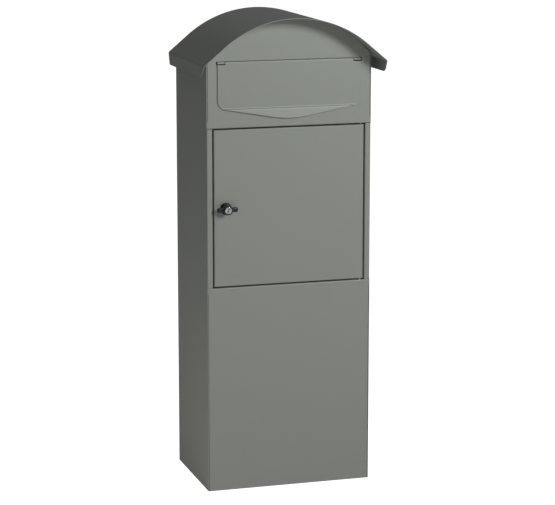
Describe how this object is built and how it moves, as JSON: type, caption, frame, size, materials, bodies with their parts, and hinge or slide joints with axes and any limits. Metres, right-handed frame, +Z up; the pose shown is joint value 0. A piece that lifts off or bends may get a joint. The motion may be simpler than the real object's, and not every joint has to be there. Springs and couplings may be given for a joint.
{
  "type": "free-standing letter and parcel box",
  "caption": "Free-standing sheet-steel pillar box with an arched overhanging canopy, a lift-up letter flap and a side-hinged square door closed by a wing-knob key lock.",
  "frame": {"origin": "centre of the box body's footprint on the ground, which is also the centre of the four ground-anchor holes", "axes": "+X to the right seen from the front, +Y to the back, +Z up; the flap, door and lock face -Y"},
  "size_m": [0.4448, 0.3391, 1.1225],
  "materials": {
    "grey_powder_coat": "satin powder coat",
    "zinc_plated_steel": "satin zinc plate",
    "nickel_plated_steel": "polished nickel plate",
    "black_knob_coat": "semi-gloss black",
    "black_rubber": "matt"
  },
  "bodies": {
    "case": {"left_side_panel": "grey_powder_coat", "right_side_panel": "grey_powder_coat", "back_panel": "grey_powder_coat", "back_panel_rivets": "zinc_plated_steel", "base_plate": "grey_powder_coat", "lower_front_panel": "grey_powder_coat", "upper_fascia": "grey_powder_coat", "left_floor_rail": "zinc_plated_steel", "right_floor_rail": "zinc_plated_steel", "compartment_floor": "grey_powder_coat", "letter_chute": "zinc_plated_steel", "roof_canopy": "grey_powder_coat", "front_roof_bow": "zinc_plated_steel", "rear_roof_bow": "zinc_plated_steel", "roof_studs": "zinc_plated_steel", "roof_nuts": "zinc_plated_steel", "flap_hinge_rod": "grey_powder_coat", "left_flap_knuckle": "grey_powder_coat", "right_flap_knuckle": "grey_powder_coat", "flap_bumpers": "black_rubber", "upper_pivot_pin": "zinc_plated_steel", "lower_pivot_pin": "zinc_plated_steel", "door_bumpers": "black_rubber"},
    "door": {"door": "grey_powder_coat", "lock_housing": "black_knob_coat", "lock_nut": "zinc_plated_steel"},
    "flap": {"letter_flap": "grey_powder_coat"},
    "knob": {"wing_knob": "black_knob_coat", "lock_cam": "zinc_plated_steel", "cam_screw": "nickel_plated_steel"},
    "key_plug": {"key_cylinder": "nickel_plated_steel"}
  },
  "joints": [
    {"name": "door_hinge", "type": "hinge", "parent": "case", "child": "door", "pos_m": [0.1765, -0.134, 0.67975], "axis": [0, 0, 1], "range_deg": [0, 110]},
    {"name": "flap_hinge", "type": "hinge", "parent": "case", "child": "flap", "pos_m": [0, -0.1397, 1.0191], "axis": [-1, 0, 0], "range_deg": [0, 90]},
    {"name": "knob_turn", "type": "hinge", "parent": "door", "child": "knob", "pos_m": [-0.155, -0.14, 0.67975], "axis": [0, 1, 0], "range_deg": [0, 90]},
    {"name": "key_turn", "type": "hinge", "parent": "knob", "child": "key_plug", "pos_m": [-0.155, -0.165, 0.67975], "axis": [0, 1, 0], "range_deg": [0, 90]}
  ]
}
